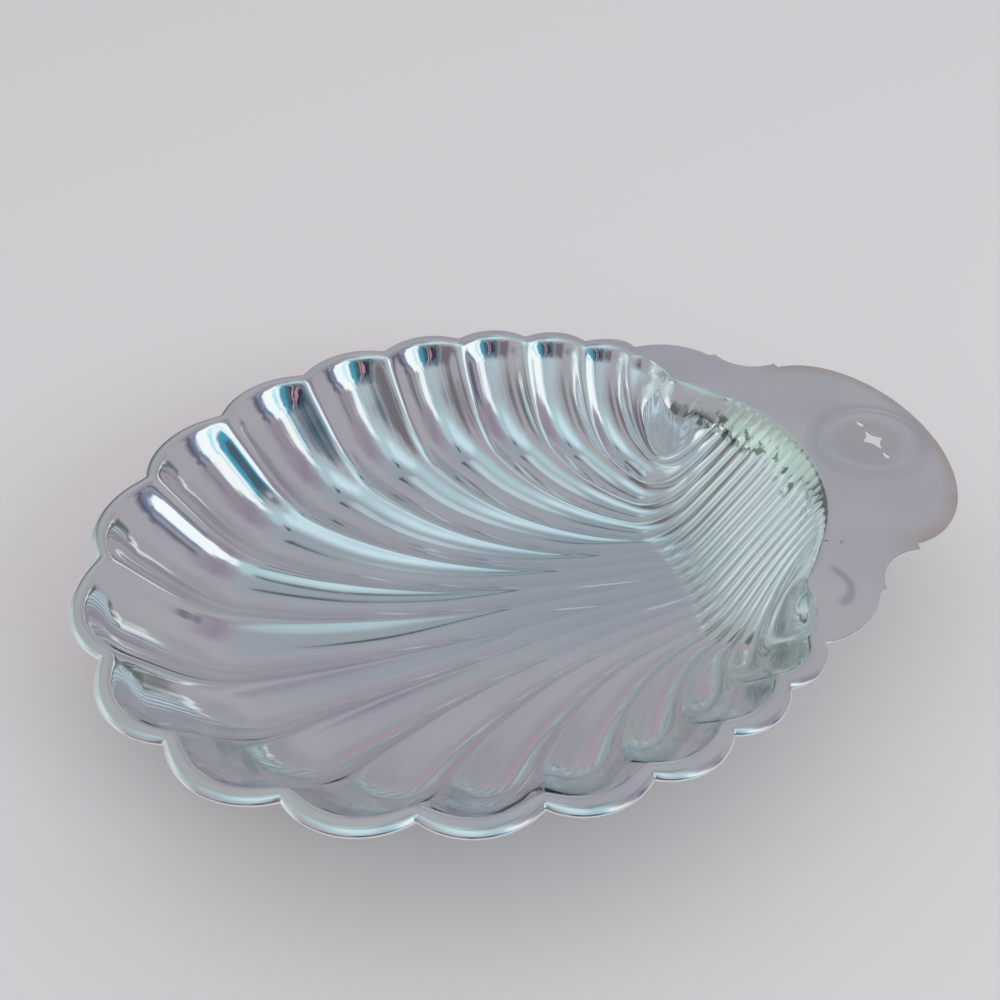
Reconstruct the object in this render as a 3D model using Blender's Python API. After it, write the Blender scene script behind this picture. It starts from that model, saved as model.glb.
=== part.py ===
"""Shell-shaped serving dish, pressed from one sheet of silver-plated metal.

The dish is a scallop shell: nineteen flutes run from a scalloped flat rim, across the floor,
and up the back wall as fine reeds. The rim carries on behind the wall as a flat handle plate
with a raised disc, a pierced star and two pierced drops.

Frame: +X points to the handle, +Z up, origin under the middle of the outline, on the surface
that the dish stands on. Lengths are in metres.
"""
import math

import bmesh
import bpy
import numpy as np
from mathutils import Vector
from mathutils.geometry import delaunay_2d_cdt

# Overall sizes
BOWL_LENGTH = 0.2574        # tip of the front lobe to the top of the back wall
BOWL_WIDTH = 0.2317         # between the widest pair of rim cusps
HANDLE_REACH = 0.0474       # handle plate behind the back wall
RIM_HEIGHT = 0.0509         # table to the top of the rim
SHEET = 0.0010              # thickness of the sheet

# Rim and lobes
RIM_WIDTH = 0.0064          # flat rim between the bowl and the outline
LOBE_BULGE = 0.205          # how far a lobe stands out, as a share of its chord
LIP_WIDTH = 0.0026          # rounded lip along the lobes
LIP_DROP = 0.0011           # how far the lip turns down
LIP_STEPS = ((0.0, 1.0), (0.45, 0.3), (1.0, 0.0))   # shares of its width and of its drop
LIP_LIMIT = 0.6             # most of the rim's width that the lip may take

# Walls and floor of the bowl, measured down from the rim
FRONT_SLOPE = 1.25          # rise over run of the scalloped wall
BACK_SLOPE = 1.25           # rise over run of the wall under the handle
FLOOR_DEPTH = 0.0535        # depth that the floor would reach far from the rim
FLOOR_RISE = 0.0352         # how much shallower the floor starts beside the wall
FLOOR_REACH = 0.0595        # run over which the floor deepens
BEND_SOFTNESS = 0.0092      # size of the bend between wall and floor
BACK_SOFTNESS = 0.0138      # size of the bend between floor and back wall
BASE_SOFTNESS = 0.0008      # size of the bend round the flat spot that the dish stands on

# Flutes
FLUTES_EACH_SIDE = 9        # besides the one on the centreline
FLUTE_DEPTH = 0.20          # depth of a flute as a share of its width
FLOOR_FLUTE_DEPTH = 0.13    # the same on the worn floor
REED_DEPTH = 0.16           # the same on the back wall
DEPTH_KNOTS = (0, 0.25, 0.55, 0.8, 1)       # run from rim to back wall where these depths hold
LEAN_SHARE = 0.6            # the flutes push level at the rim, until this share of its width down
CURL_RUN = 0.0115           # how far the rearmost crest runs in before it turns back
FRONT_PULLS = (0.302, 0.231, 0.107)         # how far flutes 0, 3 and 6 run straight in, of the length
BACK_PULLS = (0.302, 0.374, 0.240, 0.116)   # the same at the back wall, and for the rearmost crest
WALL_FAN = 0.1              # how far the reeds fan out up the back wall
TUCK_POWER = 3              # how late the last flute turns to the rim
CAP_FADE = 0.7              # how much flatter the last flute gets towards its corner

# Back wall, an arc seen from above
BACK_RADIUS = 0.0692
REED_PITCH = 0.00458        # spacing of the reeds along the top of the wall

# Handle plate
SHOULDER_WIDTH = 0.1383     # across the pair of points nearest the bowl
WING_WIDTH = 0.1121         # across the pair of points nearest the handle's end
SHOULDER_SET = 0.0057       # those points ahead of the top of the back wall
WING_SET = 0.0132           # and behind it
NOTCH = 0.0028              # step beside each point
NOTCH_LEAN = 0.2            # how far a step leans, as a share of its length
SHOULDER_BULGE = 0.147      # bulge of the outline ahead of the points, as a share of its chord
HOLLOW_BULGE = 0.21         # hollow between the points, the same way
DISC_RADIUS = 0.0195
DISC_HEIGHT = 0.0008
DISC_SET = 0.0260           # centre of the disc behind the back wall
DISC_STEPS = ((1.0, 0.0), (0.94, 0.35), (0.87, 0.85), (0.80, 1.0), (0.70, 0.65), (0.64, 0.5))
STAR_LENGTH = 0.0086        # along the handle
STAR_WIDTH = 0.0133         # across it
STAR_WAIST = 0.30           # how far the star's sides curve in
STAR_SHARES = (0.06, 0.28, 0.5, 0.72, 0.94)     # points along each side; the tips are blunt
DROP_LENGTH = 0.0035
DROP_WIDTH = 0.0021
DROP_SET = 0.0097           # drops each side of the star's centre

# Cusps between the lobes, from the front round one side, as shares of length and half width
CUSPS = (
    (0.0376, 0.2036), (0.1044, 0.5413), (0.2206, 0.7976), (0.3552, 0.9453), (0.4890, 1.0000),
    (0.6109, 0.9941), (0.7153, 0.9289), (0.8023, 0.8320), (0.8666, 0.7279),
)
CORNER = (0.8897, 0.498)    # where the last flute's cap meets the back wall

# Mesh counts
COLUMNS_PER_FLUTE = 6
ROWS = 19
ROW_CROWDING = 0.45         # how the rows crowd towards the rim and the back wall
CURVE_SAMPLES = 200
FOLD_LIMIT = 0.6            # keeps the push finite where the sheet folds sharply
DISC_SEGMENTS = 36
DROP_SEGMENTS = 12

LAST_CREST = FLUTES_EACH_SIDE - 0.5
LAST_EDGE = FLUTES_EACH_SIDE + 0.5
X_TIP = -(BOWL_LENGTH + HANDLE_REACH) / 2
X_BACK = X_TIP + BOWL_LENGTH
X_BACK_CENTRE = X_BACK - BACK_RADIUS
BASE_DEPTH = RIM_HEIGHT - SHEET


def smooth_step(value):
    """0 below 0, 1 above 1, and a smooth ramp between."""
    value = np.clip(value, 0.0, 1.0)
    return value * value * (3.0 - 2.0 * value)


def soft_min(first, second, softness):
    """The lower of two heights, with a rounded change from one to the other."""
    mix = np.clip(0.5 + 0.5 * (second - first) / softness, 0.0, 1.0)
    return second * (1.0 - mix) + first * mix - softness * mix * (1.0 - mix)


def unit(vectors):
    """The same directions with length one."""
    return vectors / np.maximum(np.linalg.norm(vectors, axis=-1), 1e-12)[..., None]


def place(share_x, share_y):
    """A point of the outline from its shares of the bowl's length and half width."""
    return np.array((X_TIP + share_x * BOWL_LENGTH, share_y * BOWL_WIDTH / 2))


def mirrored(points):
    """Points of one side, led by their mirror images, in order from -Y to +Y."""
    points = np.array(points)
    return np.vstack([points[::-1] * (1, -1), points])


def spline(points, position, first):
    """Catmull-Rom curve through points that stand at first, first + 1, and so on."""
    cell = np.clip(np.floor(position - first).astype(int), 1, len(points) - 3)
    share = (position - first - cell)[:, None]
    before, start, end, after = (points[cell + shift] for shift in (-1, 0, 1, 2))
    return 0.5 * (2 * start + (end - before) * share
                  + (2 * before - 5 * start + 4 * end - after) * share ** 2
                  + (3 * start - before - 3 * end + after) * share ** 3)


def arc(start, end, bulge, count):
    """Points along a circular arc; a positive bulge stands to the left of start to end."""
    start, end = np.array(start), np.array(end)
    along = end - start
    chord = np.linalg.norm(along)
    along = along / chord
    left = np.array((-along[1], along[0]))
    radius = (chord * chord / 4 + bulge * bulge) / (2 * abs(bulge))
    half = math.asin(min(1.0, chord / 2 / radius))
    turns = np.linspace(-half, half, count)[:, None]
    lift = math.copysign(1.0, bulge) * (radius * np.cos(turns) - (radius - abs(bulge)))
    return start + along * (chord / 2 + radius * np.sin(turns)) + left * lift


CORNER_POINT = place(*CORNER)
CUSP_LOOP = mirrored([place(*cusp) for cusp in CUSPS])
CUSP_ALONG = unit(np.gradient(CUSP_LOOP, axis=0))
CUSP_INWARD = np.stack([CUSP_ALONG[:, 1], -CUSP_ALONG[:, 0]], axis=1)


def inner_guide():
    """Control points of the smooth curve through the cusps of the rim's inner edge."""
    points = np.vstack([CORNER_POINT * (1, -1), CUSP_LOOP + CUSP_INWARD * RIM_WIDTH, CORNER_POINT])
    before = 2 * points[0] - points[1]
    after = 2 * points[-1] - points[-2]
    return np.vstack([before, points, after])


INNER_GUIDE = inner_guide()


def inner_edge(position):
    """Points of the smooth inner edge; crests stand at halves and flutes at whole numbers."""
    return spline(INNER_GUIDE, position, -LAST_EDGE - 1)


def bowl_grid(position):
    """The bowl without its flutes: one curve from rim to back wall for each position."""
    side = np.abs(position)
    step = 1e-3
    along = unit(inner_edge(position + step) - inner_edge(position - step))
    heading = np.arctan2(-along[:, 0], along[:, 1])
    wall_turn = position * REED_PITCH / BACK_RADIUS
    start = inner_edge(position)
    end = np.stack([X_BACK_CENTRE + BACK_RADIUS * np.cos(wall_turn),
                    BACK_RADIUS * np.sin(wall_turn)], axis=1)

    # The last flute's outer edge lies along the rim, on the arc of the back wall
    tuck = np.clip(side - LAST_CREST, 0, 1) ** TUCK_POWER
    corner_turn = np.arctan2(CORNER_POINT[1], CORNER_POINT[0] - X_BACK_CENTRE)
    leave_turn = np.sign(position) * (corner_turn - math.pi / 2)
    arrive_turn = np.sign(position) * (np.abs(wall_turn) - math.pi / 2)
    arrival = WALL_FAN * wall_turn
    heading = heading + tuck * np.angle(np.exp(1j * (leave_turn - heading)))
    arrival = arrival + tuck * (arrive_turn - arrival)
    edge_pull = np.linalg.norm(end - start, axis=1) / 3
    knots = (0, 3, 6, LAST_CREST)
    front_pull = np.interp(side, knots, (*(share * BOWL_LENGTH for share in FRONT_PULLS), CURL_RUN))
    back_pull = np.interp(side, knots, [share * BOWL_LENGTH for share in BACK_PULLS])
    front_pull = front_pull * (1 - tuck) + edge_pull * tuck
    back_pull = back_pull * (1 - tuck) + edge_pull * tuck
    leave = np.stack([np.cos(heading), np.sin(heading)], axis=1) * front_pull[:, None]
    arrive = np.stack([np.cos(arrival), np.sin(arrival)], axis=1) * back_pull[:, None]

    share = np.linspace(0, 1, CURVE_SAMPLES)[None, :, None]
    plan = ((1 - share) ** 3 * start[:, None] + 3 * (1 - share) ** 2 * share * (start + leave)[:, None]
            + 3 * (1 - share) * share ** 2 * (end - arrive)[:, None] + share ** 3 * end[:, None])
    steps = np.linalg.norm(np.diff(plan, axis=1), axis=2)
    run = np.hstack([np.zeros((len(side), 1)), np.cumsum(steps, axis=1)])
    rows = np.linspace(0, 1, ROWS + 1)
    rows = rows - ROW_CROWDING * np.sin(2 * np.pi * rows) / (2 * np.pi)
    from_rim = rows[None, :] * run[:, -1:]
    points = np.empty((len(side), ROWS + 1, 3))
    for column in range(len(side)):
        for axis in range(2):
            points[column, :, axis] = np.interp(from_rim[column], run[column], plan[column, :, axis])
    from_back = run[:, -1:] - from_rim
    floor = FLOOR_DEPTH - FLOOR_RISE * np.exp(-from_rim / FLOOR_REACH)
    depth = soft_min(soft_min(FRONT_SLOPE * from_rim, floor, BEND_SOFTNESS),
                     BACK_SLOPE * from_back, BACK_SOFTNESS)
    rise = 1 - tuck[:, None]
    points[:, :, 2] = -np.maximum(depth, 0) * rise
    return points


def flute_section(position):
    """Round channel between two crests: 0 on a crest and 1 along the channel's middle."""
    off_centre = position - np.round(position)
    radius = (0.25 + FLUTE_DEPTH ** 2) / (2 * FLUTE_DEPTH)
    section = (np.sqrt(radius ** 2 - off_centre ** 2) - (radius - FLUTE_DEPTH)) / FLUTE_DEPTH
    past_middle = 2 * (np.abs(position) - FLUTES_EACH_SIDE)
    return section * (1 - CAP_FADE * smooth_step(past_middle))


def outward_normals(points, position):
    """Normals of the bowl without flutes, pointing down and out through the sheet."""
    across = np.gradient(points, position, axis=0)
    down_run = np.gradient(points, axis=1)
    normals = unit(np.cross(across, down_run))
    return normals * np.where(normals[..., 2:3] > 0, -1.0, 1.0), np.linalg.norm(across, axis=2)


def fluted_grid(position):
    """The upper face of the bowl with its flutes, and the push that gives the lower face."""
    base = bowl_grid(position)
    normals, width = outward_normals(base, position)

    # The last flute ends in a point, where neither its width nor its edge's normal would hold
    width[:COLUMNS_PER_FLUTE] = width[COLUMNS_PER_FLUTE]
    width[-COLUMNS_PER_FLUTE:] = width[-COLUMNS_PER_FLUTE - 1]
    normals[0] = normals[1]
    normals[-1] = normals[-2]
    edge = inner_edge(position)
    along = unit(np.gradient(edge, position, axis=0))
    level = np.stack([-along[:, 1], along[:, 0], np.zeros(len(along))], axis=1)
    settle = smooth_step(-base[..., 2:3] / (LEAN_SHARE * RIM_WIDTH))
    settle[:, ROWS // 2:] = 1.0
    push = unit(level[:, None] * (1 - settle) + normals * settle)
    rows = np.linspace(0, 1, ROWS + 1)
    share = np.interp(rows, DEPTH_KNOTS,
                      (FLUTE_DEPTH, FLUTE_DEPTH, FLOOR_FLUTE_DEPTH, REED_DEPTH, REED_DEPTH))
    amount = flute_section(position)[:, None] * share[None, :] * width
    upper = base + push * amount[..., None]
    upper[..., 2] = -soft_min(-upper[..., 2], np.full_like(upper[..., 2], BASE_DEPTH), BASE_SOFTNESS)
    upper[:, 0, 2] = 0.0
    upper[:, -1, 2] = 0.0
    upper[0, :, 2] = 0.0
    upper[-1, :, 2] = 0.0

    # Along its edges the bowl folds into the flat plate, and the lower faces meet on the fold
    lower = normals * SHEET
    flat_spot = upper[..., 2] <= -BASE_DEPTH + 1e-9
    lower[flat_spot] = (0, 0, -SHEET)
    under = np.array((0, 0, -1.0))
    for edge_rows in ((slice(None), 0), (slice(None), -1), (0, slice(None)), (-1, slice(None))):
        wall = normals[edge_rows]
        fold = np.maximum(1 + wall @ under, FOLD_LIMIT)
        lower[edge_rows] = SHEET * (wall + under) / fold[:, None]
        lower[edge_rows + (2,)] = -SHEET
    return upper, lower


def lobe_rim(position):
    """Outer edge of the scalloped rim, one circular arc for each lobe."""
    points = np.empty((len(position), 2))
    for number in range(len(CUSP_LOOP) - 1):
        first = number - LAST_CREST
        inside = (position >= first - 1e-9) & (position <= first + 1 + 1e-9)
        start, end = CUSP_LOOP[number], CUSP_LOOP[number + 1]
        bulge = LOBE_BULGE * np.linalg.norm(end - start)
        points[inside] = arc(start, end, bulge, COLUMNS_PER_FLUTE + 1)
    return points


def handle_outline():
    """Outline of the handle plate from the last cusp on +Y, round the end, to that on -Y."""
    cusp = CUSP_LOOP[-1]
    shoulder = np.array((X_BACK - SHOULDER_SET, SHOULDER_WIDTH / 2))
    shoulder_corner = shoulder + (-NOTCH, NOTCH * NOTCH_LEAN)
    wing = np.array((X_BACK + WING_SET, WING_WIDTH / 2))
    wing_corner = wing + (NOTCH * NOTCH_LEAN, -NOTCH)
    half = [*arc(cusp, shoulder_corner, SHOULDER_BULGE * np.linalg.norm(shoulder_corner - cusp), 9),
            *arc(shoulder, wing, -HOLLOW_BULGE * np.linalg.norm(wing - shoulder), 9)]
    centre = wing_corner[0]
    reach = X_BACK + HANDLE_REACH - centre
    for turn in np.linspace(math.pi / 2, 0, 17):
        half.append((centre + reach * math.cos(turn), wing_corner[1] * math.sin(turn)))
    half = np.array(half)
    return np.vstack([half, half[-2::-1] * (1, -1)])


def encloses(outline, spot):
    """Whether a closed outline runs round a point."""
    here = np.array(outline)
    after = np.roll(here, -1, axis=0)
    crossed = (here[:, 1] > spot[1]) != (after[:, 1] > spot[1])
    rise = np.where(crossed, after[:, 1] - here[:, 1], 1.0)
    crossing = here[:, 0] + (spot[1] - here[:, 1]) / rise * (after[:, 0] - here[:, 0])
    return np.count_nonzero(crossed & (crossing > spot[0])) % 2 == 1


class SheetMesh:
    """Gathers the points of the upper face, the push to the lower face, and the faces."""

    def __init__(self):
        self.points = []
        self.pushes = []
        self.faces = []

    def add(self, point, push):
        """One point of the upper face with its push; gives back its number."""
        self.points.append(tuple(point))
        self.pushes.append(tuple(push))
        return len(self.points) - 1

    def add_grid_faces(self, numbers):
        """Quads over a grid of point numbers."""
        for column in range(numbers.shape[0] - 1):
            for row in range(numbers.shape[1] - 1):
                self.faces.append((numbers[column, row], numbers[column, row + 1],
                                   numbers[column + 1, row + 1], numbers[column + 1, row]))

    def fill(self, loops):
        """Triangles inside the first loop and outside the others, all of them level."""
        numbers = [number for loop in loops for number in loop]
        corners = [Vector(self.points[number][:2]) for number in numbers]
        sides = []
        for loop in loops:
            first = len(sides)
            sides += [(first + index, first + (index + 1) % len(loop)) for index in range(len(loop))]
        _, _, faces, origins, _, _ = delaunay_2d_cdt(corners, sides, [], 1, 1e-7)
        holes = [[self.points[number][:2] for number in loop] for loop in loops[1:]]
        for face in faces:
            face = [numbers[origins[corner][0]] for corner in face]
            middle = np.mean([self.points[number][:2] for number in face], axis=0)
            if not any(encloses(hole, middle) for hole in holes):
                self.faces.append(tuple(face))


def add_bowl(sheet):
    """The fluted bowl; gives back its grid of point numbers and its positions."""
    count = 2 * (FLUTES_EACH_SIDE * COLUMNS_PER_FLUTE + COLUMNS_PER_FLUTE // 2)
    position = np.linspace(-LAST_EDGE, LAST_EDGE, count + 1)
    upper, lower = fluted_grid(position)
    numbers = np.empty(upper.shape[:2], int)
    for column in range(upper.shape[0]):
        for row in range(upper.shape[1]):
            numbers[column, row] = sheet.add(upper[column, row], lower[column, row])
    sheet.add_grid_faces(numbers)
    return numbers, position


def add_rim(sheet, bowl, position):
    """The flat rim round the lobes with its rounded lip; gives back its grid of numbers."""
    chosen = np.where(np.abs(position) <= LAST_CREST + 1e-9)[0]
    outer = lobe_rim(position[chosen])
    inner = np.array([sheet.points[bowl[column, 0]][:2] for column in chosen])
    fade = smooth_step((LAST_CREST - np.abs(position[chosen])) / 1.0)
    width = np.linalg.norm(outer - inner, axis=1)
    lip = np.minimum(LIP_WIDTH / width, LIP_LIMIT)
    numbers = np.empty((len(chosen), 4), int)
    down = (0, 0, -SHEET)
    for index, column in enumerate(chosen):
        numbers[index, 3] = bowl[column, 0]
        for row, (reach, drop) in enumerate(LIP_STEPS):
            spot = outer[index] + (inner[index] - outer[index]) * lip[index] * reach
            height = -LIP_DROP * drop * fade[index]
            numbers[index, row] = sheet.add((*spot, height), down)
    sheet.add_grid_faces(numbers)
    return numbers


def disc_profile():
    """Radius and height of each ring of the raised disc, from its foot to its middle."""
    return [(share * DISC_RADIUS, height * DISC_HEIGHT) for share, height in DISC_STEPS]


def star_outline(centre_x):
    """Four-pointed star whose sides curve in."""
    points = []
    tips = ((STAR_LENGTH / 2, 0), (0, STAR_WIDTH / 2), (-STAR_LENGTH / 2, 0), (0, -STAR_WIDTH / 2))
    for index, tip in enumerate(tips):
        start = np.array(tip)
        end = np.array(tips[(index + 1) % 4])
        for share in STAR_SHARES:
            pull = 1 - STAR_WAIST * 4 * share * (1 - share)
            spot = (start + (end - start) * share) * pull
            points.append((centre_x + spot[0], spot[1]))
    return points


def drop_outline(centre_x, centre_y):
    """One of the two pierced drops beside the star."""
    turns = np.arange(DROP_SEGMENTS) * 2 * math.pi / DROP_SEGMENTS
    return [(centre_x + DROP_WIDTH / 2 * math.cos(turn), centre_y + DROP_LENGTH / 2 * math.sin(turn))
            for turn in turns]


def add_disc(sheet):
    """The raised disc of the handle; gives back the numbers of its foot ring."""
    down = (0, 0, -SHEET)
    centre = (X_BACK + DISC_SET, 0.0)
    rings = []
    for radius, height in disc_profile():
        ring = []
        for turn in np.arange(DISC_SEGMENTS) * 2 * math.pi / DISC_SEGMENTS:
            spot = (centre[0] + radius * math.cos(turn), radius * math.sin(turn), height)
            ring.append(sheet.add(spot, down))
        rings.append(ring + ring[:1])
    sheet.add_grid_faces(np.array(rings))
    height = disc_profile()[-1][1]
    holes = [star_outline(centre[0]), drop_outline(centre[0], -DROP_SET), drop_outline(centre[0], DROP_SET)]
    holes = [[sheet.add((*point, height), down) for point in hole] for hole in holes]
    sheet.fill([rings[-1][:-1], *holes])
    return rings[0][:-1]


def add_plate(sheet, bowl, rim, foot):
    """The flat handle plate between the bowl, its own outline and the foot of the disc."""
    side = COLUMNS_PER_FLUTE
    last = bowl.shape[0] - 1
    outline = handle_outline()[1:-1]
    down = (0, 0, -SHEET)
    edge = [sheet.add((*point, 0.0), down) for point in outline]
    loop = [*bowl[last - side:last, 0], *bowl[last, :-1], *bowl[last:0:-1, -1], *bowl[0, :0:-1],
            *bowl[:side, 0], *rim[0, ::-1], *edge[::-1], *rim[-1, :-1]]
    sheet.fill([loop, foot])


def closed_shell(sheet, name):
    """Upper face, lower face and the cut edges between them, as one closed mesh."""
    shell = bmesh.new()
    upper = [shell.verts.new((x, y, z + RIM_HEIGHT)) for x, y, z in sheet.points]
    lower = [shell.verts.new((x + dx, y + dy, z + RIM_HEIGHT + dz))
             for (x, y, z), (dx, dy, dz) in zip(sheet.points, sheet.pushes)]
    for face in sheet.faces:
        shell.faces.new([upper[number] for number in face])
    bmesh.ops.recalc_face_normals(shell, faces=shell.faces[:])
    rim_edges = [edge for edge in shell.edges if edge.is_boundary]
    partner = {point: lower[index] for index, point in enumerate(upper)}
    for face in shell.faces[:]:
        shell.faces.new([partner[point] for point in reversed(face.verts)])
    for edge in rim_edges:
        start, end = edge.verts
        shell.faces.new((start, end, partner[end], partner[start]))
    bmesh.ops.recalc_face_normals(shell, faces=shell.faces[:])
    mesh = bpy.data.meshes.new(name)
    shell.to_mesh(mesh)
    shell.free()
    return mesh


def silver_plate():
    """Bright plated metal with a soft grey-lavender cast."""
    material = bpy.data.materials.new("silver_plate")
    material.use_nodes = True
    shader = material.node_tree.nodes["Principled BSDF"]
    shader.inputs["Base Color"].default_value = (0.72, 0.72, 0.74, 1)
    shader.inputs["Metallic"].default_value = 1.0
    shader.inputs["Roughness"].default_value = 0.18
    return material


def build_dish():
    """The whole dish as one object."""
    sheet = SheetMesh()
    bowl, position = add_bowl(sheet)
    rim = add_rim(sheet, bowl, position)
    foot = add_disc(sheet)
    add_plate(sheet, bowl, rim, foot)
    mesh = closed_shell(sheet, "shell_dish")
    dish = bpy.data.objects.new("shell_dish", mesh)
    bpy.context.scene.collection.objects.link(dish)
    mesh.materials.append(silver_plate())
    mesh.shade_smooth()
    mesh.set_sharp_from_angle(angle=math.radians(38))


for old in list(bpy.data.objects):
    bpy.data.objects.remove(old, do_unlink=True)
build_dish()
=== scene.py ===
"""Shell-shaped serving dish: the dressed model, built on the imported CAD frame.

One pressed sheet of silver-plated metal: scalloped rim, fluted bowl, reeded back wall and a flat
handle plate with a raised disc, a pierced star and two pierced drops. Lengths are in metres, +X
points to the handle and +Z up.
"""
import math

import bmesh
import bpy
import numpy as np
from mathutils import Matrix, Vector
from mathutils.geometry import delaunay_2d_cdt


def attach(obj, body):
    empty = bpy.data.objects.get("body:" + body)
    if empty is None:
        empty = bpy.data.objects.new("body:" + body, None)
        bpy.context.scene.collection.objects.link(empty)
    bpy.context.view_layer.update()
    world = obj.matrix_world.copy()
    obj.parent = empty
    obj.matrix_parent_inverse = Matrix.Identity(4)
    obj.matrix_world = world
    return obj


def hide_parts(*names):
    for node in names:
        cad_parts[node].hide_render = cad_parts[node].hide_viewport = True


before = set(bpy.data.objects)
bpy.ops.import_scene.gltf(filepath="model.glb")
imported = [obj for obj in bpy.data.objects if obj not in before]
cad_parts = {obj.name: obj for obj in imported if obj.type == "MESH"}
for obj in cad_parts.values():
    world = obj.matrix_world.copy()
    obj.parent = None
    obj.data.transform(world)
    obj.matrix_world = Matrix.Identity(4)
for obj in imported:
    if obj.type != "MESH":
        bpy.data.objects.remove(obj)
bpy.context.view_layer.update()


# The dish's plan: pressed from one sheet, its rim is cut into lobes that follow the flutes.
# Nineteen flutes run from the lobes over the floor and up the back wall, where they are reeds.
BOWL_LENGTH = 0.2574
BOWL_WIDTH = 0.2317
HANDLE_REACH = 0.0474
FLUTES_EACH_SIDE = 9
LAST_EDGE = FLUTES_EACH_SIDE + 0.5
X_TIP = -(BOWL_LENGTH + HANDLE_REACH) / 2
RIM_WIDTH = 0.0064
# Where two lobes meet, and the corner at the handle: shares of the bowl's length and half width
CUSPS = (
    (0.0376, 0.2036), (0.1044, 0.5413), (0.2206, 0.7976), (0.3552, 0.9453), (0.4890, 1.0000),
    (0.6109, 0.9941), (0.7153, 0.9289), (0.8023, 0.8320), (0.8666, 0.7279),
)
CORNER = (0.8897, 0.498)


def unit(vectors):
    """The same directions with length one."""
    return vectors / np.maximum(np.linalg.norm(vectors, axis=-1), 1e-12)[..., None]


def plan_point(share_x, share_y):
    """A point of the outline from its shares of the bowl's length and half width."""
    return np.array((X_TIP + share_x * BOWL_LENGTH, share_y * BOWL_WIDTH / 2))


def arc(start, end, bulge, shares):
    """Points along a circular arc; a positive bulge stands to the left of start to end."""
    start, end = np.array(start), np.array(end)
    along = end - start
    chord = np.linalg.norm(along)
    along = along / chord
    left = np.array((-along[1], along[0]))
    radius = (chord * chord / 4 + bulge * bulge) / (2 * abs(bulge))
    half = math.asin(min(1.0, chord / 2 / radius))
    turns = half * (2 * shares[:, None] - 1)
    lift = math.copysign(1.0, bulge) * (radius * np.cos(turns) - (radius - abs(bulge)))
    return start + along * (chord / 2 + radius * np.sin(turns)) + left * lift


corner_point = plan_point(*CORNER)
cusp_side = np.array([plan_point(*cusp) for cusp in CUSPS])
cusp_loop = np.vstack([cusp_side[::-1] * (1, -1), cusp_side])
cusp_along = unit(np.gradient(cusp_loop, axis=0))
cusp_inward = np.stack([cusp_along[:, 1], -cusp_along[:, 0]], axis=1)
rim_guide = np.vstack([corner_point * (1, -1), cusp_loop + cusp_inward * RIM_WIDTH, corner_point])
before_guide = 2 * rim_guide[0] - rim_guide[1]
after_guide = 2 * rim_guide[-1] - rim_guide[-2]
rim_guide = np.vstack([before_guide, rim_guide, after_guide])


def inner_edge(position):
    """Smooth inner edge of the rim; crests stand at halves and flutes at whole numbers."""
    first = -LAST_EDGE - 1
    cell = np.clip(np.floor(position - first).astype(int), 1, len(rim_guide) - 3)
    share = (position - first - cell)[:, None]
    before, start, end, after = (rim_guide[cell + shift] for shift in (-1, 0, 1, 2))
    return 0.5 * (2 * start + (end - before) * share
                  + (2 * before - 5 * start + 4 * end - after) * share ** 2
                  + (3 * start - before - 3 * end + after) * share ** 3)


# The bowl: the press draws the sheet down into a basin with a steep scalloped wall, a floor that
# sinks towards the handle and a steep back wall. Here it is still plain, and the flutes follow.
RIM_HEIGHT = 0.0509
SHEET = 0.0010
X_BACK = X_TIP + BOWL_LENGTH
BACK_RADIUS = 0.0692
X_BACK_CENTRE = X_BACK - BACK_RADIUS
REED_PITCH = 0.00458
LAST_CREST = FLUTES_EACH_SIDE - 0.5
FRONT_SLOPE = 1.25
BACK_SLOPE = 1.25
FLOOR_DEPTH = 0.0535
FLOOR_RISE = 0.0352
FLOOR_REACH = 0.0595
BEND_SOFTNESS = 0.0092
BACK_SOFTNESS = 0.0138
FRONT_PULLS = (0.302, 0.231, 0.107)
BACK_PULLS = (0.302, 0.374, 0.240, 0.116)
CURL_RUN = 0.0115
WALL_FAN = 0.1
TUCK_POWER = 3
COLUMNS_PER_FLUTE = 22
COURSE_STEPS = 300
CREST_CROWDING = 0.6
ROW_CROWDING = 0.35
EDGE_ROWS = (0.0, 0.0004, 0.0008, 0.0013, 0.0019)
FREE_ROWS = 62
LEAN_DEPTH = 0.6 * RIM_WIDTH
STAND_BLEND = 0.0012
FOLD_FALL = 0.8
CORNER_COLUMNS = 4
LEAST_MITRE = 0.6


def smooth_step(value):
    """0 below 0, 1 above 1, and a smooth ramp between."""
    value = np.clip(value, 0.0, 1.0)
    return value * value * (3.0 - 2.0 * value)


def soft_min(first, second, softness):
    """The lower of two heights, with a rounded change from one to the other."""
    mix = np.clip(0.5 + 0.5 * (second - first) / softness, 0.0, 1.0)
    return second * (1.0 - mix) + first * mix - softness * mix * (1.0 - mix)


def crowd(places, amount):
    """Moves places towards the whole numbers, or to the halves if the amount is below 0."""
    return places - amount * np.sin(2 * np.pi * places) / (2 * np.pi)


def bowl_rows(run):
    """Distances from the rim of a column's rows, close together at both folds."""
    share = crowd(np.linspace(0, 1, FREE_ROWS), ROW_CROWDING)
    near, far = np.array(EDGE_ROWS), run - np.array(EDGE_ROWS[::-1])
    middle = EDGE_ROWS[-1] + share * (run - 2 * EDGE_ROWS[-1])
    return np.concatenate([near[:-1], middle, far[1:]])


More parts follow.
